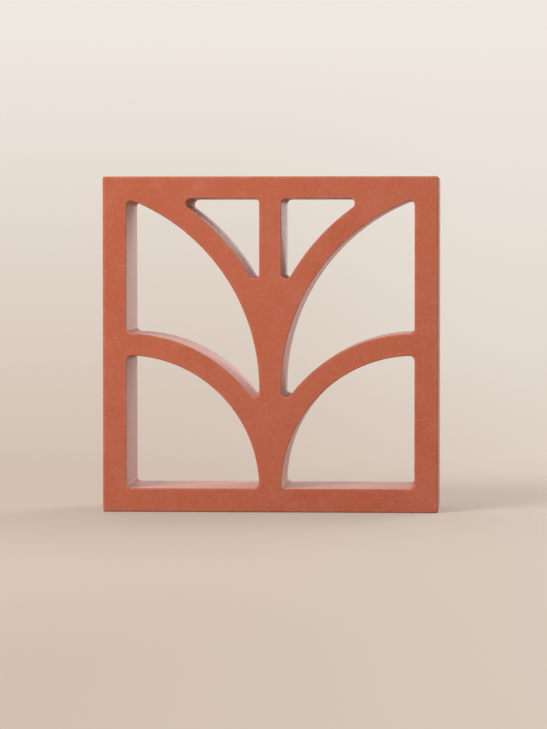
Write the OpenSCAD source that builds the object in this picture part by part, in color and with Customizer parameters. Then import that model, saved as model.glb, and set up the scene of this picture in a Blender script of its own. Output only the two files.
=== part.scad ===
// Breeze block with a stem, two arches and two fronds, cast as one square panel.
// It stands on its bottom face, with the front facing -Y and the motif growing upwards.

/* [Block] */
// Width of the block from side to side
block_w = 190; // [160:1:240]
// Height of the block from bed to top
block_h = 190; // [170:1:240]
// Depth of the block from front to back
block_d = 65; // [40:1:100]
// Width of the small flat on each outer edge
arris_w = 0.8; // [0.4:0.1:2]

/* [Motif] */
// Thickness of the frame's uprights and lower bar
frame_t = 13.5; // [8:0.5:20]
// Thickness of the frame's upper bar
top_t = 12.5; // [8:0.5:20]
// Thickness of the upright stem in the middle
stem_t = 12.5; // [8:0.5:20]
// Thickness of the two lower arches
arch_t = 12.5; // [8:0.5:18]
// Thickness of the two upper fronds
frond_t = 12; // [8:0.5:18]
// Height above the bed at which the fronds leave the stem
spring_h = 70; // [60:1:85]
// Radius in the corners of the openings
corner_r = 2.8; // [1:0.1:4]

/* [Hidden] */
$fn = 96;

clay = "#BE6848";

// Depth by which a corner's round crosses its walls, so that they meet at a clear angle
round_bite = 0.01;
// Length by which a cutting shape reaches past what it cuts
cut_past = 2;

// Inner, outer, lower and upper limits of the right-hand openings
inner_x = stem_t / 2;
outer_x = block_w / 2 - frame_t;
lower_z = frame_t;
upper_z = block_h - top_t;
open_w = outer_x - inner_x;

// The arch is a quarter ring about the lower outer corner, and its inside touches the stem
arch_c = [outer_x, lower_z];
arch_inner_r = open_w;
arch_outer_r = arch_inner_r + arch_t;

// The frond's lower edge leaves the stem upright and ends in the upper outer corner
frond_rise = upper_z - spring_h;
frond_inner_r = (open_w * open_w + frond_rise * frond_rise) / (2 * open_w);
frond_outer_r = frond_inner_r + frond_t;
frond_c = [inner_x + frond_inner_r, spring_h];

// Other leg of a right triangle with the given hypotenuse
function leg(hypotenuse, side) = sqrt(hypotenuse * hypotenuse - side * side);

// Point at a distance from one point towards another
function towards(from, to, distance) = from + (to - from) * distance / norm(to - from);

// Block with a small flat along each of its twelve edges
module blank() {
    intersection() {
        rotate([90, 0, 0])
            linear_extrude(block_d, center = true)
                translate([0, block_h / 2])
                    eased_rectangle(block_w, block_h);
        linear_extrude(block_h)
            eased_rectangle(block_w, block_d);
        rotate([90, 0, 90])
            linear_extrude(block_w, center = true)
                translate([0, block_h / 2])
                    eased_rectangle(block_d, block_h);
    }
}

// Rectangle about the origin with its corners cut off at 45 degrees
module eased_rectangle(width, height) {
    x = width / 2;
    y = height / 2;
    polygon([
        [-x + arris_w, -y],
        [x - arris_w, -y],
        [x, -y + arris_w],
        [x, y - arris_w],
        [x - arris_w, y],
        [-x + arris_w, y],
        [-x, y - arris_w],
        [-x, -y + arris_w]
    ]);
}

// Waste between a sharp corner and its round, from the round's centre and a point on each wall
module corner_waste(centre, wall_a, corner, wall_b) {
    difference() {
        polygon([
            centre,
            towards(centre, wall_a, corner_r + cut_past),
            towards(centre, corner, norm(corner - centre) + cut_past),
            towards(centre, wall_b, corner_r + cut_past)
        ]);
        translate(centre)
            circle(corner_r + round_bite);
    }
}

// Rectangle between the stem and the frame, from one height to another
module bay(from_z, to_z) {
    translate([inner_x, from_z])
        square([open_w, to_z - from_z]);
}

// Quarter disc under the arch
module lower_opening() {
    r = arch_inner_r - corner_r;
    heel = arch_c + [-corner_r, corner_r];
    toe = arch_c + [-leg(r, corner_r), corner_r];
    crown = arch_c + [-corner_r, leg(r, corner_r)];
    difference() {
        intersection() {
            bay(lower_z, upper_z);
            translate(arch_c)
                circle(arch_inner_r);
        }
        corner_waste(heel, [heel.x, lower_z], arch_c, [outer_x, heel.y]);
        corner_waste(toe, [toe.x, lower_z], arch_c - [arch_inner_r, 0], toe + (toe - arch_c));
        corner_waste(crown, [outer_x, crown.y], arch_c + [0, arch_inner_r], crown + (crown - arch_c));
    }
}

// Leaf-shaped opening between the arch and the frond
module middle_opening() {
    arch_r = arch_outer_r + corner_r;
    frond_r = frond_inner_r - corner_r;
    heel = arch_c + [-corner_r, leg(arch_r, corner_r)];
    toe = [inner_x + corner_r, arch_c.y + leg(arch_r, open_w - corner_r)];
    tip = [outer_x - corner_r, frond_c.y + leg(frond_r, frond_c.x - outer_x + corner_r)];
    heel_corner = arch_c + [0, arch_outer_r];
    toe_corner = [inner_x, arch_c.y + leg(arch_outer_r, open_w)];
    difference() {
        intersection() {
            bay(lower_z, upper_z);
            union() {
                bay(lower_z, spring_h);
                translate(frond_c)
                    circle(frond_inner_r);
            }
        }
        translate(arch_c)
            circle(arch_outer_r);
        corner_waste(heel, [outer_x, heel.y], heel_corner, arch_c);
        corner_waste(toe, [inner_x, toe.y], toe_corner, arch_c);
        corner_waste(tip, [outer_x, tip.y], [outer_x, upper_z], tip + (tip - frond_c));
    }
}

// Three-cornered opening between the frond, the stem and the top of the frame
module upper_opening() {
    r = frond_outer_r + corner_r;
    heel = [inner_x + corner_r, upper_z - corner_r];
    toe = [inner_x + corner_r, frond_c.y + leg(r, frond_c.x - inner_x - corner_r)];
    tip = [frond_c.x - leg(r, frond_rise - corner_r), upper_z - corner_r];
    toe_corner = [inner_x, frond_c.y + leg(frond_outer_r, frond_inner_r)];
    tip_corner = [frond_c.x - leg(frond_outer_r, frond_rise), upper_z];
    difference() {
        bay(spring_h, upper_z);
        translate(frond_c)
            circle(frond_outer_r);
        corner_waste(heel, [inner_x, heel.y], [inner_x, upper_z], [heel.x, upper_z]);
        corner_waste(toe, [inner_x, toe.y], toe_corner, frond_c);
        corner_waste(tip, [tip.x, upper_z], tip_corner, frond_c);
    }
}

// Everything that is open on one side of the stem
module openings() {
    lower_opening();
    middle_opening();
    upper_opening();
}

module breeze_block() {
    color(clay)
        difference() {
            blank();
            for (side = [0, 1])
                mirror([side, 0, 0])
                    rotate([90, 0, 0])
                        linear_extrude(block_d + 2 * cut_past, center = true)
                            openings();
        }
}

breeze_block();
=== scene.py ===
"""Dresses the breeze block: a pierced square of matt red clay, standing on a pale studio cove.

Lengths are in metres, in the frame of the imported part: +Z is up, the front faces -Y, and the
origin is the middle of the block's bed.
"""

import logging
import math
from collections.abc import Callable
from dataclasses import dataclass, replace
from enum import Enum

import bmesh
import bpy
from mathutils import Euler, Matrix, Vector


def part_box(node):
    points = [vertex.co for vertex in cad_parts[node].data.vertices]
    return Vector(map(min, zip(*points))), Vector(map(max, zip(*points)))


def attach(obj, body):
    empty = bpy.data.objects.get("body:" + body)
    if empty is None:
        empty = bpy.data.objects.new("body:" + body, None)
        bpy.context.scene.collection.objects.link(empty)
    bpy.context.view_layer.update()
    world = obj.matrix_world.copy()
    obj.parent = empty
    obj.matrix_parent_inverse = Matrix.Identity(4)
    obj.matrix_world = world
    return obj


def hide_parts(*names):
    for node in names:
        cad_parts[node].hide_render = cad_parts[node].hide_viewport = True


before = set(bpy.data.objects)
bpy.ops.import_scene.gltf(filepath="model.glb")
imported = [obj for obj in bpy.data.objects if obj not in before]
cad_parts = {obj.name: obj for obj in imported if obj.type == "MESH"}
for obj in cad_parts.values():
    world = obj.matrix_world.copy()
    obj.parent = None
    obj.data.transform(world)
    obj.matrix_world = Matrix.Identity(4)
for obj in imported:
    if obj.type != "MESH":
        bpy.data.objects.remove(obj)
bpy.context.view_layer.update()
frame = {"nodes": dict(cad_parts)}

LOG = logging.getLogger("breeze_block")

# Height of the picture, in pixels
PICTURE_H = 729
# How close two places lie that count as one
NEARLY = 0.00001

Place = tuple[float, float, float]
Colour = tuple[float, float, float, float]
Piece = bpy.types.Object
Edge = bmesh.types.BMEdge
Node = bpy.types.Node
Output = bpy.types.NodeSocket
Source = Output | float | Colour
Inputs = dict[str | int, Source]


class Bearing(float, Enum):
    """Directions in the front's plane, in radians anticlockwise from +X as seen from the front."""

    RIGHT = 0.0
    UP = 0.5 * math.pi
    LEFT = math.pi
    DOWN = 1.5 * math.pi


class Mask(Enum):
    """Mesh attributes that tell the clay's finish where it is on the block."""

    ARRIS = "arris"
    REVEAL = "reveal"


class Socket(Enum):
    """The kinds of value that pass between node groups and materials."""

    VALUE = "NodeSocketFloat"
    VECTOR = "NodeSocketVector"
    COLOUR = "NodeSocketColor"


class Element(Enum):
    """What a selection on the bench is made of."""

    VERTS = "VERT"
    EDGES = "EDGE"
    FACES = "FACE"


class Bench:
    """One mesh object in edit mode, worked on a selection at a time.

    It is used in a with statement, and the object is back in object mode after it.
    """

    def __init__(self, piece: Piece) -> None:
        """Takes the mesh object to work on."""
        self.piece = piece

    def __enter__(self) -> "Bench":
        """Puts the piece alone into edit mode.

        Returns:
            The bench itself.
        """
        take_only(self.piece)
        bpy.ops.object.mode_set(mode="EDIT")
        bpy.ops.mesh.select_mode(type=Element.VERTS.value)
        return self

    def __exit__(self, *_error: object) -> None:
        """Goes back to object mode."""
        bpy.ops.object.mode_set(mode="OBJECT")

    @property
    def tip(self) -> Vector:
        """Where the one selected vertex is."""
        shape = bmesh.from_edit_mesh(self.piece.data)
        return next(vert.co.copy() for vert in shape.verts if vert.select)

    def pick_all(self) -> None:
        """Selects the whole mesh."""
        bpy.ops.mesh.select_all(action="SELECT")

    def pick(self, kind: Element, wanted: Callable[[object], bool]) -> None:
        """Selects only the edges or faces that pass a test.

        Args:
            kind: Which of the two.
            wanted: Takes one edge or face, and says whether it is wanted.
        """
        bpy.ops.mesh.select_mode(type=kind.value)
        bpy.ops.mesh.select_all(action="DESELECT")
        shape = bmesh.from_edit_mesh(self.piece.data)
        choice = {Element.EDGES: shape.edges, Element.FACES: shape.faces}
        for item in filter(wanted, choice[kind]):
            item.select_set(True)
        bmesh.update_edit_mesh(self.piece.data)

    def extrude(self, step: Vector) -> None:
        """Extrudes what is selected by a step."""
        bpy.ops.mesh.extrude_region_move(TRANSFORM_OT_translate={"value": step})

    def merge_to_vertex(self) -> None:
        """Shrinks the whole mesh to one selected vertex in its middle."""
        self.pick_all()
        bpy.ops.mesh.merge(type="CENTER")


def take_only(piece: Piece) -> None:
    """Makes one object the active one and the only one that is selected.

    Args:
        piece: The object to take.
    """
    bpy.ops.object.select_all(action="DESELECT")
    piece.select_set(True)
    bpy.context.view_layer.objects.active = piece


def join(pieces: list[Piece]) -> Piece:
    """Joins mesh objects into one.

    Args:
        pieces: The objects, of which the first takes in the others.

    Returns:
        The first object.
    """
    take_only(pieces[0])
    for other in pieces[1:]:
        other.select_set(True)
    bpy.ops.object.join()
    return pieces[0]


def leg(hypotenuse: float, side: float) -> float:
    """Returns the other leg of a right triangle, from its longest side and one leg."""
    return math.sqrt(hypotenuse * hypotenuse - side * side)


def bearing(start: Vector, end: Vector) -> float:
    """Returns the bearing from one point to another, in the plane of the front."""
    return math.atan2(end.z - start.z, end.x - start.x)


def facing(place: Vector, target: Vector) -> Euler:
    """Returns how a lamp or camera at a place is turned to face a target."""
    return (target - place).to_track_quat("-Z", "Y").to_euler()


@dataclass(frozen=True)
class Arc:
    """A stretch of a circle in the plane of the front, anticlockwise unless it is hollow."""

    centre: Vector
    radius: float
    start: float
    end: float
    hollow: bool = False

    @property
    def sweep(self) -> float:
        """The angle it turns through, below zero when it is hollow."""
        turn = (self.end - self.start) % math.tau
        return turn - math.tau if self.hollow else turn

    @property
    def first_point(self) -> Vector:
        """Where it starts."""
        return self.centre + self.radius * Vector((math.cos(self.start), 0, math.sin(self.start)))

    def depth_at(self, point: Vector, reach: float) -> float:
        """Tells how far into the arc a point lies.

        Args:
            point: A point in the plane of the front.
            reach: How far off the arc it may lie.

        Returns:
            1 at the arc's middle, falling to 0 at its ends, and 0 off the arc.
        """
        off = abs((point - self.centre).length - self.radius)
        share = (bearing(self.centre, point) - self.start) % math.tau / self.sweep
        return math.sin(math.pi * share) if off < reach and share < 1 else 0.0


@dataclass(frozen=True)
class Motif:
    """Sizes of the pierced motif, and the outlines of the three openings right of the stem.

    Each outline is a list of arcs in anticlockwise order, which straight lines join.

    Attributes:
        front: Where the front lies along Y.
        margin: How much larger the outlines are drawn all round, about the same centres.
        frame: Thickness of the frame's uprights and lower bar.
        top: Thickness of its upper bar.
        stem: Thickness of the stem.
        arch: Thickness of the arches.
        frond: Thickness of the fronds.
        spring: Height at which the fronds leave the stem.
        corner: Radius in the corners of the openings.
    """

    width: float
    height: float
    front: float
    margin: float = 0.0
    frame: float = 0.0135
    top: float = 0.0125
    stem: float = 0.0125
    arch: float = 0.0125
    frond: float = 0.012
    spring: float = 0.070
    corner: float = 0.0028

    @property
    def inner_x(self) -> float:
        """The side of the stem."""
        return self.stem / 2

    @property
    def outer_x(self) -> float:
        """The inside of the frame's upright."""
        return self.width / 2 - self.frame

    @property
    def lower_z(self) -> float:
        """The top of the frame's lower bar."""
        return self.frame

    @property
    def upper_z(self) -> float:
        """The underside of the frame's upper bar."""
        return self.height - self.top

    @property
    def opening_w(self) -> float:
        """The width between the stem and the frame."""
        return self.outer_x - self.inner_x

    @property
    def arch_centre(self) -> Vector:
        """The corner of the frame about which the arch turns."""
        return self.at(self.outer_x, self.lower_z)

    @property
    def frond_radius(self) -> float:
        """The radius of the frond's lower edge, from the stem upright to the frame's corner."""
        rise = self.upper_z - self.spring
        return (self.opening_w**2 + rise**2) / (2 * self.opening_w)

    @property
    def frond_centre(self) -> Vector:
        """The centre of both edges of the frond, level with where it leaves the stem."""
        return self.at(self.inner_x + self.frond_radius, self.spring)

    @property
    def round_radius(self) -> float:
        """The radius that the openings' corners are drawn with."""
        return self.corner + self.margin

    @property
    def outlines(self) -> list[list[Arc]]:
        """The outlines of the three openings."""
        return [self.lower_opening(), self.middle_opening(), self.upper_opening()]

    @property
    def rounds(self) -> list[Arc]:
        """The rounds in the corners of the openings."""
        arcs = [arc for outline in self.outlines for arc in outline]
        return [arc for arc in arcs if math.isclose(arc.radius, self.round_radius)]

    def at(self, x: float, z: float) -> Vector:
        """Returns the point of the front at a place from side to side and a height."""
        return Vector((x, self.front, z))

    def lower_opening(self) -> list[Arc]:
        """Draws up the outline of the quarter disc under the arch.

        Returns:
            The heel's round, the crown's, the arch's inside and the toe's round.
        """
        centre = self.arch_centre
        reach = leg(self.opening_w - self.corner, self.corner)
        heel = self.at(self.outer_x - self.corner, self.lower_z + self.corner)
        crown = self.at(self.outer_x - self.corner, self.lower_z + reach)
        toe = self.at(self.outer_x - reach, self.lower_z + self.corner)
        crown_out = bearing(centre, crown)
        toe_out = bearing(centre, toe)
        return [
            Arc(heel, self.round_radius, Bearing.DOWN, Bearing.RIGHT),
            Arc(crown, self.round_radius, Bearing.RIGHT, crown_out),
            Arc(centre, self.opening_w + self.margin, crown_out, toe_out),
            Arc(toe, self.round_radius, toe_out, Bearing.DOWN),
        ]

    def middle_opening(self) -> list[Arc]:
        """Draws up the outline of the leaf between the arch and the frond.

        Returns:
            The tip's round, the frond's lower edge, the toe's round, the arch's outside and the
            heel's round.
        """
        arch_radius = self.opening_w + self.arch
        arch_reach = arch_radius + self.corner
        frond_reach = self.frond_radius - self.corner
        right = self.outer_x - self.corner
        left = self.inner_x + self.corner
        heel = self.at(right, self.lower_z + leg(arch_reach, self.corner))
        toe = self.at(left, self.lower_z + leg(arch_reach, self.outer_x - left))
        tip = self.at(right, self.spring + leg(frond_reach, self.frond_centre.x - right))
        tip_out = bearing(self.frond_centre, tip)
        return [
            Arc(tip, self.round_radius, Bearing.RIGHT, tip_out),
            Arc(self.frond_centre, self.frond_radius + self.margin, tip_out, Bearing.LEFT),
            Arc(toe, self.round_radius, Bearing.LEFT, bearing(toe, self.arch_centre)),
            Arc(
                self.arch_centre,
                arch_radius - self.margin,
                bearing(self.arch_centre, toe),
                bearing(self.arch_centre, heel),
                hollow=True,
            ),
            Arc(heel, self.round_radius, bearing(heel, self.arch_centre), Bearing.RIGHT),
        ]

    def upper_opening(self) -> list[Arc]:
        """Draws up the outline of the three-cornered opening above the frond.

        Returns:
            The heel's round, the toe's, the frond's upper edge and the tip's round.
        """
        centre = self.frond_centre
        frond_radius = self.frond_radius + self.frond
        reach = frond_radius + self.corner
        left = self.inner_x + self.corner
        top = self.upper_z - self.corner
        heel = self.at(left, top)
        toe = self.at(left, self.spring + leg(reach, centre.x - left))
        tip = self.at(centre.x - leg(reach, top - self.spring), top)
        return [
            Arc(heel, self.round_radius, Bearing.UP, Bearing.LEFT),
            Arc(toe, self.round_radius, Bearing.LEFT, bearing(toe, centre)),
            Arc(
                centre,
                frond_radius - self.margin,
                bearing(centre, toe),
                bearing(centre, tip),
                hollow=True,
            ),
            Arc(tip, self.round_radius, bearing(tip, centre), Bearing.UP),
        ]


@dataclass(frozen=True)
class OutlinePen:
    """Draws closed outlines in the plane of the front, by extruding and spinning one vertex.

    Attributes:
        facet: The longest side that an arc is drawn with.
        turn: The largest angle between two sides of an arc.
    """

    facet: float = 0.0012
    turn: float = math.radians(11)

    def draw(self, arcs: list[Arc]) -> Piece:
        """Draws the arcs in order, with straight lines between them, and fills the outline.

        Args:
            arcs: The arcs, where each starts on the tangent that the one before ends on.

        Returns:
            A flat sheet of one face.
        """
        bpy.ops.mesh.primitive_plane_add(size=self.facet, location=arcs[0].first_point)
        sheet = bpy.context.object
        bpy.ops.object.transform_apply(location=True)
        with Bench(sheet) as bench:
            bench.merge_to_vertex()
            for arc in arcs:
                line = arc.first_point - bench.tip
                if line.length > NEARLY:
                    bench.extrude(line)
                self.spin(arc)
            bench.extrude(arcs[0].first_point - bench.tip)
            bench.pick_all()
            bpy.ops.mesh.remove_doubles(threshold=NEARLY)
            bpy.ops.mesh.edge_face_add()
        return sheet

    def spin(self, arc: Arc) -> None:
        """Draws an arc from the selected vertex.

        Args:
            arc: The arc, which starts at that vertex.
        """
        by_length = abs(arc.sweep) * arc.radius / self.facet
        by_turn = abs(arc.sweep) / self.turn
        steps = math.ceil(max(by_length, by_turn))
        bpy.ops.mesh.spin(steps=steps, angle=arc.sweep, center=arc.centre, axis=(0, 1, 0))


@dataclass
class BreezeBlock:
    """The block itself: one casting, flush on its front and back, with six openings through it.

    Attributes:
        low: The lowest corner of its box.
        high: The highest corner of its box.
        rim_round: Radius along the rims of the openings.
        arris_round: Radius along the outer edges.
        strip: Width of the even faces beside every edge, which the roundings are cut from.
        round_segments: How many faces there are across a rounding.
        smooth_angle: The largest angle between faces that are shaded as one surface.
        rim_angle: The smallest angle between the faces at a rim.
        flat_cosine: How much of a flat face's normal lies along one axis, at least.
        wall_slope: How much of a wall's normal lies along Y, at most.
        round_reach: How far off a corner's true round its vertices lie, at most.
        round_wear: How much of the mould's skin the middle of a corner's round lacks.
    """

    low: Vector
    high: Vector
    rim_round: float = 0.0007
    arris_round: float = 0.0012
    strip: float = 0.0020
    round_segments: int = 4
    smooth_angle: float = math.radians(32)
    rim_angle: float = math.radians(45)
    flat_cosine: float = 0.999
    wall_slope: float = 0.001
    round_reach: float = 0.0003
    round_wear: float = 0.9

    @property
    def size(self) -> Vector:
        """Width, depth and height."""
        return self.high - self.low

    @property
    def motif(self) -> Motif:
        """The motif that pierces it."""
        return Motif(width=self.size.x, height=self.size.z, front=self.low.y)

    def build(self, clay: bpy.types.Material) -> Piece:
        """Models the block and gives it its finish.

        Args:
            clay: What it is made of.

        Returns:
            The finished piece.
        """
        block = self.front_sheet()
        block.name = "breeze_block_casting"
        self.give_depth(block)
        self.round_edges(block)
        self.mark_masks(block)
        self.smooth(block)
        block.data.materials.append(clay)
        return block

    def front_sheet(self) -> Piece:
        """Models the front as a flat sheet, with a strip of even faces along every edge.

        Returns:
            The sheet, open where the openings are.
        """
        sheet = join([self.border_strip(), self.opening_strips()])
        with Bench(sheet) as bench:
            bench.pick(Element.EDGES, lambda edge: edge.is_boundary and not self.on_outside(edge))
            bpy.ops.mesh.fill(use_beauty=True)
            bench.pick(Element.FACES, self.is_plug)
            bpy.ops.mesh.delete(type="FACE")
        return sheet

    def opening_strips(self) -> Piece:
        """Models the strip round each opening, with a plug of one face inside it.

        Returns:
            The strips and plugs of all six openings.
        """
        pen = OutlinePen()
        motif = replace(self.motif, margin=self.strip)
        sheet = join([pen.draw(outline) for outline in motif.outlines])
        other_side = sheet.modifiers.new("other_side", "MIRROR")
        bpy.ops.object.modifier_apply(modifier=other_side.name)
        with Bench(sheet) as bench:
            bench.pick_all()
            bpy.ops.mesh.inset(thickness=self.strip, use_even_offset=True)
        return sheet

    def border_strip(self) -> Piece:
        """Models the strip along the outside of the front.

        Returns:
            The strip, open in the middle.
        """
        middle = (self.low + self.high) / 2
        bpy.ops.mesh.primitive_plane_add(
            size=1, location=(middle.x, self.low.y, middle.z), rotation=(math.pi / 2, 0, 0)
        )
        sheet = bpy.context.object
        bpy.ops.transform.resize(value=(self.size.x, 1, self.size.z))
        bpy.ops.object.transform_apply(location=True, rotation=True, scale=True)
        with Bench(sheet) as bench:
            bench.pick_all()
            bpy.ops.mesh.inset(thickness=self.strip)
            bpy.ops.mesh.delete(type="FACE")
        return sheet

    def give_depth(self, block: Piece) -> None:
        """Draws the sheet back into a solid block, with strips beside the edges of its walls.

        Args:
            block: The sheet.
        """
        with Bench(block) as bench:
            bench.pick_all()
            bench.extrude(Vector((0, self.size.y, 0)))
            bench.pick_all()
            bpy.ops.mesh.normals_make_consistent(inside=False)
            for y in (self.low.y + self.strip, self.high.y - self.strip):
                bench.pick_all()
                bpy.ops.mesh.bisect(plane_co=(0, y, 0), plane_no=(0, 1, 0))

    def round_edges(self, block: Piece) -> None:
        """Rounds the block's outer edges and the rims of its openings.

        Args:
            block: The solid block.
        """
        with Bench(block) as bench:
            bench.pick(Element.EDGES, self.is_arris)
            bpy.ops.mesh.bevel(offset=self.arris_round, segments=self.round_segments)
            bench.pick(Element.EDGES, self.is_rim)
            bpy.ops.mesh.bevel(offset=self.rim_round, segments=self.round_segments)

    def mark_masks(self, block: Piece) -> None:
        """Writes where the rounded edges and the walls of the openings are.

        Args:
            block: The block with its edges rounded.
        """
        arris = [0.0] * len(block.data.vertices)
        for face in block.data.polygons:
            if self.is_rounded(face.normal):
                for vert in face.vertices:
                    arris[vert] = 1.0
        rounds = self.motif.rounds
        reveal = [self.mould_skin(vert.co, rounds) for vert in block.data.vertices]
        for mask, values in ((Mask.ARRIS, arris), (Mask.REVEAL, reveal)):
            attribute = block.data.attributes.new(mask.value, "FLOAT", "POINT")
            attribute.data.foreach_set("value", values)

    def smooth(self, block: Piece) -> None:
        """Shades the rounded edges and the curved walls smooth, and keeps the flat faces flat.

        Args:
            block: The block.
        """
        take_only(block)
        bpy.ops.object.shade_smooth_by_angle(angle=self.smooth_angle)
        weighting = block.modifiers.new("flat_faces", "WEIGHTED_NORMAL")
        weighting.keep_sharp = True
        bpy.ops.object.modifier_apply(modifier=weighting.name)

    def inset(self, point: Vector) -> Vector:
        """Returns how far a point lies from the nearer side of the block, along each axis."""
        return Vector([min(pair) for pair in zip(point - self.low, self.high - point)])

    def on_outside(self, edge: Edge) -> bool:
        """Says whether the middle of an edge lies on one of the block's four outer sides."""
        middle = self.inset((edge.verts[0].co + edge.verts[1].co) / 2)
        return min(middle.x, middle.z) < NEARLY

    def is_arris(self, edge: Edge) -> bool:
        """Says whether an edge of the solid block is one of its outer edges."""
        return self.on_outside(edge) and edge.calc_face_angle() > self.smooth_angle

    def is_rim(self, edge: Edge) -> bool:
        """Says whether an edge of the solid block is on the rim of an opening."""
        on_face = all(self.inset(vert.co).y < NEARLY for vert in edge.verts)
        return on_face and edge.calc_face_angle() > self.rim_angle

    def in_opening(self, point: Vector) -> bool:
        """Says whether a point is on the wall of an opening.

        Args:
            point: A point on the block's surface.

        Returns:
            Whether it lies inside the frame, behind the front rims and before the back ones.
        """
        motif = self.motif
        across = abs(point.x) < motif.outer_x + NEARLY
        upright = motif.lower_z - NEARLY < point.z < motif.upper_z + NEARLY
        between = self.inset(point).y > self.rim_round - NEARLY
        return across and upright and between

    def mould_skin(self, point: Vector, rounds: list[Arc]) -> float:
        """Tells how much of the mould's smooth skin a point has.

        Args:
            point: A point on the block's surface.
            rounds: The rounds in the corners of the openings right of the stem.

        Returns:
            1 on an opening's walls, less in the rounds of their corners, and 0 elsewhere.
        """
        if not self.in_opening(point):
            return 0.0
        flat = self.motif.at(abs(point.x), point.z)
        depth = max(arc.depth_at(flat, self.round_reach) for arc in rounds)
        return 1 - self.round_wear * depth

    def is_rounded(self, normal: Vector) -> bool:
        """Says whether a face with this normal is on a rounded edge along the front or back."""
        flat = any(abs(part) > self.flat_cosine for part in normal)
        return not flat and abs(normal.y) >= self.wall_slope

    @staticmethod
    def is_plug(face: bmesh.types.BMFace) -> bool:
        """Says whether a face of the sheet plugs an opening, as only those have over 4 sides."""
        return len(face.verts) > 4


@dataclass(frozen=True)
class Layers:
    """How rough a noise is: its number of finer layers, and how strong each is."""

    detail: float
    roughness: float


@dataclass(frozen=True)
class Fade:
    """Where a soft mask starts to rise from 0, and where it reaches 1."""

    start: float
    full: float


class Board:
    """Lays nodes on a shader tree or a node group, and joins their sockets.

    Attributes:
        place: The place on the piece, by which each kind of board reads its patterns.
    """

    place: Output

    # Where a Mix node has its colours, under names that its other sockets share
    FIRST_COLOUR = 6
    SECOND_COLOUR = 7
    MIXED_COLOUR = 2

    def __init__(self, tree: bpy.types.NodeTree) -> None:
        """Takes the tree to lay nodes on."""
        self.tree = tree

    def add(self, kind: str, values: Inputs | None = None, **settings: object) -> Node:
        """Adds a node.

        Args:
            kind: The node's type, without the words ShaderNode in front.
            values: What each input gets, by the input's name or number.
            settings: The node's own settings, such as an operation.

        Returns:
            The new node.
        """
        node = self.tree.nodes.new("ShaderNode" + kind)
        for name, setting in settings.items():
            setattr(node, name, setting)
        self.feed(node, values or {})
        return node

    def feed(self, node: Node, values: Inputs) -> None:
        """Gives a node's inputs their values, or joins them to other nodes' outputs.

        Args:
            node: The node to feed.
            values: What each input gets, by the input's name or number.
        """
        for name, value in values.items():
            if isinstance(value, Output):
                self.tree.links.new(value, node.inputs[name])
            else:
                node.inputs[name].default_value = value

    def work(self, operation: str, first: Source, second: Source) -> Output:
        """Returns what an operation of the Math node makes of two values."""
        return self.add("Math", {0: first, 1: second}, operation=operation).outputs[0]

    def plus(self, first: Source, second: Source) -> Output:
        """Returns the sum of two values."""
        return self.work("ADD", first, second)

    def minus(self, first: Source, second: Source) -> Output:
        """Returns the first value less the second."""
        return self.work("SUBTRACT", first, second)

    def times(self, first: Source, second: Source) -> Output:
        """Returns the product of two values."""
        return self.work("MULTIPLY", first, second)

    def over(self, first: Source, second: Source) -> Output:
        """Returns the first value divided by the second."""
        return self.work("DIVIDE", first, second)

    def larger(self, first: Source, second: Source) -> Output:
        """Returns the larger of two values."""
        return self.work("MAXIMUM", first, second)

    def noise(self, scale: Source, layers: Layers) -> Output:
        """Returns a noise about 0.5, with its scale as the number of features to a metre."""
        values = {"Scale": scale, "Detail": layers.detail, "Roughness": layers.roughness}
        return self.add("TexNoise", {"Vector": self.place, **values}).outputs["Fac"]

    def cells(self, scale: Source) -> tuple[Output, Node]:
        """Divides space into cells.

        Args:
            scale: How many cells there are to a metre.

        Returns:
            The distance from the middle of the cell, and a node that puts out three random values
            of the cell's own, as red, green and blue.
        """
        values = {"Vector": self.place, "Scale": scale}
        pattern = self.add("TexVoronoi", values, feature="F1").outputs
        lots = self.add("SeparateColor", {"Color": pattern["Color"]})
        return pattern["Distance"], lots

    def mask(self, value: Source, fade: Fade) -> Output:
        """Returns a mask that rises softly from 0 to 1 as a value passes through a fade."""
        values = {"Value": value, "From Min": fade.start, "From Max": fade.full}
        return self.add("MapRange", values, interpolation_type="SMOOTHSTEP").outputs["Result"]

    def blend(self, mask: Source, first: Source, second: Source) -> Output:
        """Returns a mix of two colours, from the first where the mask is 0 to the second at 1."""
        values = {"Factor": mask, self.FIRST_COLOUR: first, self.SECOND_COLOUR: second}
        return self.add("Mix", values, data_type="RGBA").outputs[self.MIXED_COLOUR]


class MaterialBoard(Board):
    """A board that is a new material."""

    def __init__(self, name: str) -> None:
        """Makes the material, with its usual shader and the place on its piece.

        Args:
            name: The material's name.
        """
        self.material = bpy.data.materials.new(name)
        self.material.use_nodes = True
        super().__init__(self.material.node_tree)
        self.place = self.add("TexCoord").outputs["Object"]

    def mark(self, mask: Mask) -> Output:
        """Returns one of the piece's masks."""
        return self.add("Attribute", attribute_name=mask.value).outputs["Fac"]


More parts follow.
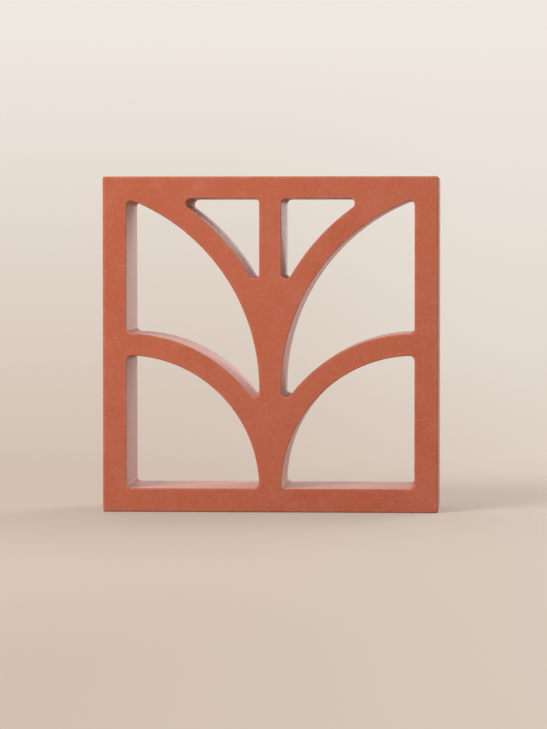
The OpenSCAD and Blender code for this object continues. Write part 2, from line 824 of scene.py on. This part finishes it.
class EffectGroup(Board):
    """A board that is a node group, with named inputs and outputs, for materials to share."""

    def __init__(self, name: str) -> None:
        """Makes the group, with the place as its first input.

        Args:
            name: The group's name.
        """
        super().__init__(bpy.data.node_groups.new(name, "ShaderNodeTree"))
        self.inside = self.tree.nodes.new("NodeGroupInput")
        self.outside = self.tree.nodes.new("NodeGroupOutput")
        self.place = self.take("Place", Socket.VECTOR)

    def take(self, name: str, kind: Socket, value: float | None = None) -> Output:
        """Adds an input.

        Args:
            name: The input's name.
            kind: The kind of value that it takes.
            value: What it is when nothing feeds it.

        Returns:
            The input's socket inside the group.
        """
        socket = self.tree.interface.new_socket(name, in_out="INPUT", socket_type=kind.value)
        if value is not None:
            socket.default_value = value
        return self.inside.outputs[name]

    def give(self, name: str, kind: Socket, source: Output) -> None:
        """Adds an output by a name and a kind, which gives out a socket inside the group."""
        self.tree.interface.new_socket(name, in_out="OUTPUT", socket_type=kind.value)
        self.tree.links.new(source, self.outside.inputs[name])

    def place_on(self, board: MaterialBoard, **values: Source) -> Node:
        """Returns the group's node in a material, with the material's place and other values."""
        return board.add("Group", {"Place": board.place, **values}, node_tree=self.tree)


@dataclass(frozen=True)
class KilnClouding:
    """The effect that clouds a fired colour with redder and chalkier patches.

    Attributes:
        patches: How many red patches there are to a metre.
        close: How many times closer the chalky patches lie.
        fine: How many times closer the specks among them lie.
        speck_share: The specks' share of the chalky pattern.
    """

    patches: float = 20.0
    close: float = 3.7
    fine: float = 19.0
    speck_share: float = 0.3
    red_layers: Layers = Layers(2.0, 0.5)
    patch_layers: Layers = Layers(3.0, 0.6)
    speck_layers: Layers = Layers(2.0, 0.6)
    red_fade: Fade = Fade(0.46, 0.66)
    chalk_fade: Fade = Fade(0.46, 0.68)

    def build(self) -> EffectGroup:
        """Lays out the effect.

        Returns:
            A group that takes a place and three colours, and gives the clouded colour.
        """
        group = EffectGroup("kiln_clouding")
        body = group.take("Body", Socket.COLOUR)
        ember = group.take("Ember", Socket.COLOUR)
        chalk = group.take("Chalk", Socket.COLOUR)
        patches = group.take("Patches", Socket.VALUE, self.patches)
        red = group.noise(patches, self.red_layers)
        close = group.noise(group.times(patches, self.close), self.patch_layers)
        fine = group.noise(group.times(patches, self.fine), self.speck_layers)
        patchy = group.times(close, 1 - self.speck_share)
        chalky = group.plus(patchy, group.times(fine, self.speck_share))
        reddened = group.blend(group.mask(red, self.red_fade), body, ember)
        clouded = group.blend(group.mask(chalky, self.chalk_fade), reddened, chalk)
        group.give("Colour", Socket.COLOUR, clouded)
        return group


@dataclass(frozen=True)
class SandGrain:
    """The effect of fine sand in the clay's skin: pale and dark grains, and their relief.

    Attributes:
        grains: How many grains there are to a metre.
        skin: How close the skin's own roughness lies, against the grains.
        dome: How high a proud grain stands, against the skin's roughness.
    """

    grains: float = 1500.0
    skin: float = 0.55
    skin_layers: Layers = Layers(3.0, 0.65)
    dome: float = 0.5
    proud_fade: Fade = Fade(0.55, 0.95)
    colour_fade: Fade = Fade(0.86, 0.98)

    def build(self) -> EffectGroup:
        """Lays out the effect.

        Returns:
            A group that takes a place, and gives two masks and a relief.
        """
        group = EffectGroup("sand_grain")
        grains = group.take("Grains", Socket.VALUE, self.grains)
        distance, lots = group.cells(grains)
        skin = group.noise(group.times(grains, self.skin), self.skin_layers)
        proud = group.mask(lots.outputs["Blue"], self.proud_fade)
        domes = group.times(proud, group.minus(1.0, distance))
        group.give("Pale", Socket.VALUE, group.mask(lots.outputs["Red"], self.colour_fade))
        group.give("Dark", Socket.VALUE, group.mask(lots.outputs["Green"], self.colour_fade))
        group.give("Relief", Socket.VALUE, group.plus(skin, group.times(domes, self.dome)))
        return group


@dataclass(frozen=True)
class Pinholes:
    """The effect of the small holes that air bubbles leave in a cast face.

    Attributes:
        spread: How many cells there are to a metre, each with one hole or none.
        without: The share of cells without a hole.
        growth: How fast holes grow with the cell's random value above that, in cells.
        lip: How soft a hole's edge is, in cells.
    """

    spread: float = 160.0
    without: float = 0.55
    growth: float = 0.13
    lip: Fade = Fade(0.0, 0.02)

    def build(self) -> EffectGroup:
        """Lays out the effect.

        Returns:
            A group that takes a place, and gives a mask of the holes.
        """
        group = EffectGroup("pinholes")
        spread = group.take("Spread", Socket.VALUE, self.spread)
        distance, lots = group.cells(spread)
        radius = group.times(group.minus(lots.outputs["Red"], self.without), self.growth)
        group.give("Hole", Socket.VALUE, group.mask(group.minus(radius, distance), self.lip))
        return group


@dataclass(frozen=True)
class DustAndSheenFilm:
    """The effect of pale dust, which clings in broken patches where a mask lets it, and which on the
    walls of the openings is partly a painted sheen.
    """

    patches: float = 90.0
    layers: Layers = Layers(4.0, 0.65)
    fade: Fade = Fade(0.25, 0.75)

    def build(self) -> EffectGroup:
        """Lays out the effect.

        Returns:
            A group that takes a place and a mask, and gives the film of dust.
        """
        group = EffectGroup("dust_and_sheen_film")
        where = group.take("Where", Socket.VALUE, 1.0)
        patches = group.take("Patches", Socket.VALUE, self.patches)
        cover = group.mask(group.noise(patches, self.layers), self.fade)
        group.give("Film", Socket.VALUE, group.times(where, cover))
        return group


@dataclass(frozen=True)
class FiredClay:
    """Matt unglazed red clay, clouded by the kiln, with fine sand and pinholes in its skin.

    Attributes:
        ember: The clay's colour where the fire was hotter.
        chalk: Its colour where it is chalky.
        grain_share: How much of their own colour the grains show.
        arris_dust: How much dust lies on the edges, from 0 to 1, as for the next two.
        swell_relief: Height of the slight waves in the skin.
        swells: How many waves there are to a metre.
        reveal_roughness: Roughness of the walls, which the mould left smoother than the faces.
        reveal_smoothing: How much lower the sand stands on the walls.
        relief_middle: Relief of the sand that leaves the roughness as it is.
        grain_roughness: How much rougher the skin is on the grains.
        dust_roughness: How much rougher it is under the dust.
    """

    body: Colour = (0.525, 0.120, 0.050, 1)
    ember: Colour = (0.505, 0.106, 0.038, 1)
    chalk: Colour = (0.530, 0.132, 0.062, 1)
    # Pale dust, which on the walls of the openings also serves as a painted sheen.
    dust_and_sheen: Colour = (0.640, 0.330, 0.240, 1)
    pale_grain: Colour = (0.660, 0.300, 0.200, 1)
    dark_grain: Colour = (0.300, 0.070, 0.038, 1)
    # Painted shade: the dark colour painted into the pinholes, in place of the shade inside them.
    hole_shade: Colour = (0.170, 0.040, 0.022, 1)
    grain_share: float = 0.20
    arris_dust: float = 0.25
    # Painted sheen: the pale film on the walls is partly real dust and partly paints in the pale
    # sheen the walls show at a grazing view.
    reveal_dust_and_sheen: float = 0.28
    face_dust: float = 0.06
    sand_relief: float = 0.00006
    swell_relief: float = 0.0004
    swells: float = 100.0
    swell_layers: Layers = Layers(5.0, 0.7)
    hole_depth: float = 0.0004
    face_roughness: float = 0.75
    reveal_roughness: float = 0.34
    reveal_smoothing: float = 0.6
    relief_middle: float = 0.5
    grain_roughness: float = 0.2
    dust_roughness: float = 0.12
    diffuse_roughness: float = 0.6
    specular: float = 0.5
    sheen: float = 0.20
    sheen_roughness: float = 0.5

    def build(self) -> bpy.types.Material:
        """Lays out the clay.

        Returns:
            The clay as a material.
        """
        clay = MaterialBoard("fired_clay")
        reveal = clay.mark(Mask.REVEAL)
        holes = Pinholes().build().place_on(clay).outputs["Hole"]
        film = DustAndSheenFilm().build().place_on(clay, Where=self.dust_and_sheen_mask(clay, reveal)).outputs["Film"]
        sand = SandGrain().build().place_on(clay)
        grain = sand.outputs["Relief"]
        skin = {
            "Base Color": self.colour(clay, sand, film, holes),
            "Roughness": self.roughness(clay, reveal, film, grain),
            "Normal": self.relief(clay, reveal, grain, holes),
            "Specular IOR Level": self.specular,
            "Diffuse Roughness": self.diffuse_roughness,
            "Sheen Weight": self.sheen,
            "Sheen Roughness": self.sheen_roughness,
        }
        clay.feed(clay.tree.nodes["Principled BSDF"], skin)
        return clay.material

    def dust_and_sheen_mask(self, clay: MaterialBoard, reveal: Source) -> Output:
        """Works out how much dust may cling at each place, where the pale film on the walls is
        partly a painted sheen.

        Args:
            clay: The material's board.
            reveal: Where the walls of the openings are.

        Returns:
            The largest of the amounts on the edges, the walls and the faces.
        """
        on_edges = clay.times(clay.mark(Mask.ARRIS), self.arris_dust)
        # Painted sheen: on the walls the pale film is partly real dust and partly a painted sheen.
        on_walls_dust_and_sheen = clay.times(reveal, self.reveal_dust_and_sheen)
        return clay.larger(clay.larger(on_edges, on_walls_dust_and_sheen), self.face_dust)

    def colour(self, clay: MaterialBoard, sand: Node, film: Source, holes: Source) -> Output:
        """Works out the colour of the skin.

        Args:
            clay: The material's board.
            sand: The placed effect of the sand.
            film: Where the dust is, on the walls partly a painted sheen.
            holes: Where the pinholes are.

        Returns:
            The fired colour under the dust and the grains, where the dust on the walls is partly a
            painted sheen, with painted shade in the pinholes.
        """
        tones = {"Body": self.body, "Ember": self.ember, "Chalk": self.chalk}
        clouds = KilnClouding().build().place_on(clay, **tones)
        # The pale film: dust, and on the walls partly a painted sheen.
        colour = clay.blend(film, clouds.outputs["Colour"], self.dust_and_sheen)
        for grain, tone in (("Pale", self.pale_grain), ("Dark", self.dark_grain)):
            share = clay.times(sand.outputs[grain], self.grain_share)
            colour = clay.blend(share, colour, tone)
        # Painted shade: the pinholes are painted dark for the shade inside them.
        return clay.blend(holes, colour, self.hole_shade)

    def roughness(self, clay: MaterialBoard, reveal: Source, film: Source, grain: Source) -> Output:
        """Works out the roughness, which is highest where dust lies on the faces.

        Args:
            clay: The material's board.
            reveal: Where the walls of the openings are.
            film: Where the dust is, on the walls partly a painted sheen.
            grain: The relief of the sand.

        Returns:
            The roughness.
        """
        smoother = clay.times(reveal, self.reveal_roughness - self.face_roughness)
        grained = clay.times(clay.minus(grain, self.relief_middle), self.grain_roughness)
        bare = clay.plus(clay.plus(smoother, self.face_roughness), grained)
        return clay.plus(bare, clay.times(film, self.dust_roughness))

    def relief(self, clay: MaterialBoard, reveal: Source, grain: Source, holes: Source) -> Output:
        """Works out the normals of the skin, from its relief in metres.

        Args:
            clay: The material's board.
            reveal: Where the walls of the openings are.
            grain: The relief of the sand.
            holes: Where the pinholes are.

        Returns:
            The normals.
        """
        swells = clay.noise(self.swells, self.swell_layers)
        smoothed = clay.times(reveal, -self.reveal_smoothing)
        sand = clay.times(grain, clay.times(clay.plus(smoothed, 1.0), self.sand_relief))
        pits = clay.times(holes, -self.hole_depth)
        height = clay.plus(clay.plus(clay.times(swells, self.swell_relief), sand), pits)
        return clay.add("Bump", {"Distance": 1.0, "Height": height}).outputs["Normal"]


@dataclass(frozen=True)
class CovePaper:
    """Pale warm paper, lit by the lamps near the block and plain further off.

    Attributes:
        left: The colour of the floor to the left, up to left_end along X.
        right: The colour of the floor to the right, from right_end on.
        high: The colour of the wall from the height of top upwards.
        shade: What darkens the paper where lamps light it.
        slope: How much higher and further right the paper counts for each metre back.
        lit_share: How much of its colour the paper shows the lamps.
        plain_share: How much of the paper near the block is plain.
        lit_radius: How far from the block it is lit most.
        plain_radius: How far off it is all plain.
    """

    left: Colour = (0.651, 0.539, 0.451, 1)
    right: Colour = (0.745, 0.656, 0.580, 1)
    high: Colour = (0.863, 0.807, 0.748, 1)
    shade: Colour = (0, 0, 0, 1)
    left_end: float = -0.10
    right_end: float = 0.35
    top: float = 0.66
    slope: float = 0.06
    lit_share: float = 0.72
    plain_share: float = 0.4
    lit_radius: float = 0.25
    plain_radius: float = 0.80

    def build(self) -> bpy.types.Material:
        """Lays out the paper.

        Returns:
            The paper as a material.
        """
        paper = MaterialBoard("cove_paper")
        nodes = paper.tree.nodes
        nodes.remove(nodes["Principled BSDF"])
        tone = self.tone(paper)
        lit = paper.add("BsdfDiffuse", {"Color": paper.blend(1 - self.lit_share, tone, self.shade)})
        plain = paper.add("Emission", {"Color": tone})
        far_off = paper.times(self.far_off(paper), 1 - self.plain_share)
        share = paper.times(self.seen(paper), paper.plus(far_off, self.plain_share))
        both = paper.add("MixShader", {0: share, 1: lit.outputs[0], 2: plain.outputs[0]})
        paper.feed(nodes["Material Output"], {"Surface": both.outputs[0]})
        return paper.material

    def tone(self, paper: MaterialBoard) -> Output:
        """Works out the paper's colour.

        Args:
            paper: The material's board.

        Returns:
            The colour, which pales to the right and upwards, as painted shading across the floor and
            the wall.
        """
        # Painted shading: the paper's own colour is darker at the left and near the floor, and paler
        # to the right and up the wall.
        parts = paper.add("SeparateXYZ", {0: paper.place}).outputs
        back = paper.times(parts["Y"], self.slope)
        across = paper.mask(paper.plus(parts["X"], back), Fade(self.left_end, self.right_end))
        rise = paper.over(paper.plus(parts["Z"], back), self.top)
        return paper.blend(rise, paper.blend(across, self.left, self.right), self.high)

    def far_off(self, paper: MaterialBoard) -> Output:
        """Returns a mask of the paper that lies away from the block."""
        distance = paper.add("VectorMath", {0: paper.place}, operation="LENGTH").outputs["Value"]
        return paper.mask(distance, Fade(self.lit_radius, self.plain_radius))

    def seen(self, paper: MaterialBoard) -> Output:
        """Picks out the rays that show the paper, straight or in a reflection.

        Args:
            paper: The material's board.

        Returns:
            1 for such a ray, and 0 for others.
        """
        rays = paper.add("LightPath").outputs
        straight = paper.larger(rays["Is Camera Ray"], rays["Is Glossy Ray"])
        return paper.larger(straight, rays["Is Transmission Ray"])


@dataclass(frozen=True)
class SoftLamp:
    """A square soft lamp that faces the block and isn't seen itself."""

    name: str
    place: Place
    side: float
    power: float

    def hang(self, subject: Vector) -> None:
        """Hangs the lamp in its place.

        Args:
            subject: What it is turned to.
        """
        bpy.ops.object.light_add(type="AREA", location=self.place)
        lamp = bpy.context.object
        lamp.name = self.name
        lamp.rotation_euler = facing(Vector(self.place), subject)
        lamp.data.size = self.side
        lamp.data.energy = self.power
        lamp.visible_camera = False


@dataclass(frozen=True)
class Studio:
    """The stage: a round cove of paper, three soft lamps, the room's light and the camera.

    Attributes:
        subject: The middle of the block, which the lamps face.
        cove_radius: Radius at which the floor curves up into the wall.
        focal_pixels: The camera's focal length, in pixels of the picture.
        subject_row: The row of the picture where the subject is.
        sensor: Size of the camera's sensor along the picture's height, in millimetres.
    """

    subject: Vector
    lamps: tuple[SoftLamp, ...] = (
        SoftLamp("key_lamp", place=(-0.60, -0.83, 0.88), side=0.63, power=14.8),
        SoftLamp("overhead_lamp", place=(0.1, 1.2, 1.8), side=1.8, power=21.0),
        SoftLamp("side_lamp", place=(0.94, 1.19, 0.60), side=1.0, power=15.0),
    )
    floor_radius: float = 2.6
    cove_radius: float = 0.9
    wall_top: float = 1.0
    cove_steps: int = 16
    round_steps: int = 96
    room_colour: Colour = (1.0, 0.985, 0.965, 1)
    room_strength: float = 0.40
    camera_place: Place = (0.125, -2.0765, 0.153)
    focal_pixels: float = 3628.0
    subject_row: float = 343.0
    sensor: float = 36.0

    def build(self, paper: bpy.types.Material) -> None:
        """Sets up the whole stage.

        Args:
            paper: What the cove is made of.
        """
        cove = self.cove()
        cove.data.materials.append(paper)
        for lamp in self.lamps:
            lamp.hang(self.subject)
        self.room_light()
        self.camera()

    def cove(self) -> Piece:
        """Spins a floor that curves up into a wall all round.

        Returns:
            The cove.
        """
        bpy.ops.mesh.primitive_plane_add(size=self.cove_radius, location=(0, 0, 0))
        cove = bpy.context.object
        cove.name = "studio_cove"
        curve_centre = (self.floor_radius, 0, self.cove_radius)
        with Bench(cove) as bench:
            bench.merge_to_vertex()
            bench.extrude(Vector((self.floor_radius, 0, 0)))
            bpy.ops.mesh.spin(
                steps=self.cove_steps, angle=math.pi / 2, center=curve_centre, axis=(0, 1, 0)
            )
            bench.extrude(Vector((0, 0, self.wall_top - self.cove_radius)))
            bench.pick_all()
            bpy.ops.mesh.spin(
                steps=self.round_steps, angle=math.tau, center=(0, 0, 0), axis=(0, 0, 1)
            )
            bench.pick_all()
            bpy.ops.mesh.remove_doubles(threshold=NEARLY)
            bpy.ops.mesh.normals_make_consistent(inside=True)
        take_only(cove)
        bpy.ops.object.shade_smooth()
        return cove

    def room_light(self) -> None:
        """Fills the room with even light."""
        world = bpy.data.worlds.new("room_light")
        world.use_nodes = True
        background = world.node_tree.nodes["Background"].inputs
        background["Color"].default_value = self.room_colour
        background["Strength"].default_value = self.room_strength
        bpy.context.scene.world = world

    def camera(self) -> None:
        """Sets up the camera, level with the block and aimed a little under its middle."""
        place = Vector(self.camera_place)
        bpy.ops.object.camera_add(location=place)
        camera = bpy.context.object
        drop = (PICTURE_H / 2 - self.subject_row) * (self.subject - place).length / self.focal_pixels
        camera.rotation_euler = facing(place, self.subject - Vector((0, 0, drop)))
        camera.data.sensor_width = self.sensor
        camera.data.lens = self.sensor * self.focal_pixels / PICTURE_H
        bpy.context.scene.camera = camera
        bpy.context.scene.view_settings.view_transform = "Standard"


def main() -> None:
    """Builds the block and the stage."""
    logging.basicConfig(level=logging.INFO, format="%(message)s")
    low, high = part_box("breeze_block")
    piece = BreezeBlock(low=low, high=high).build(FiredClay().build())
    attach(piece, "root")
    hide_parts("breeze_block")
    LOG.info("%s: %d faces", piece.name, len(piece.data.polygons))
    Studio(subject=(low + high) / 2).build(CovePaper().build())
    LOG.info("studio: cove, lamps, room light and camera")


if __name__ == "__main__":
    main()
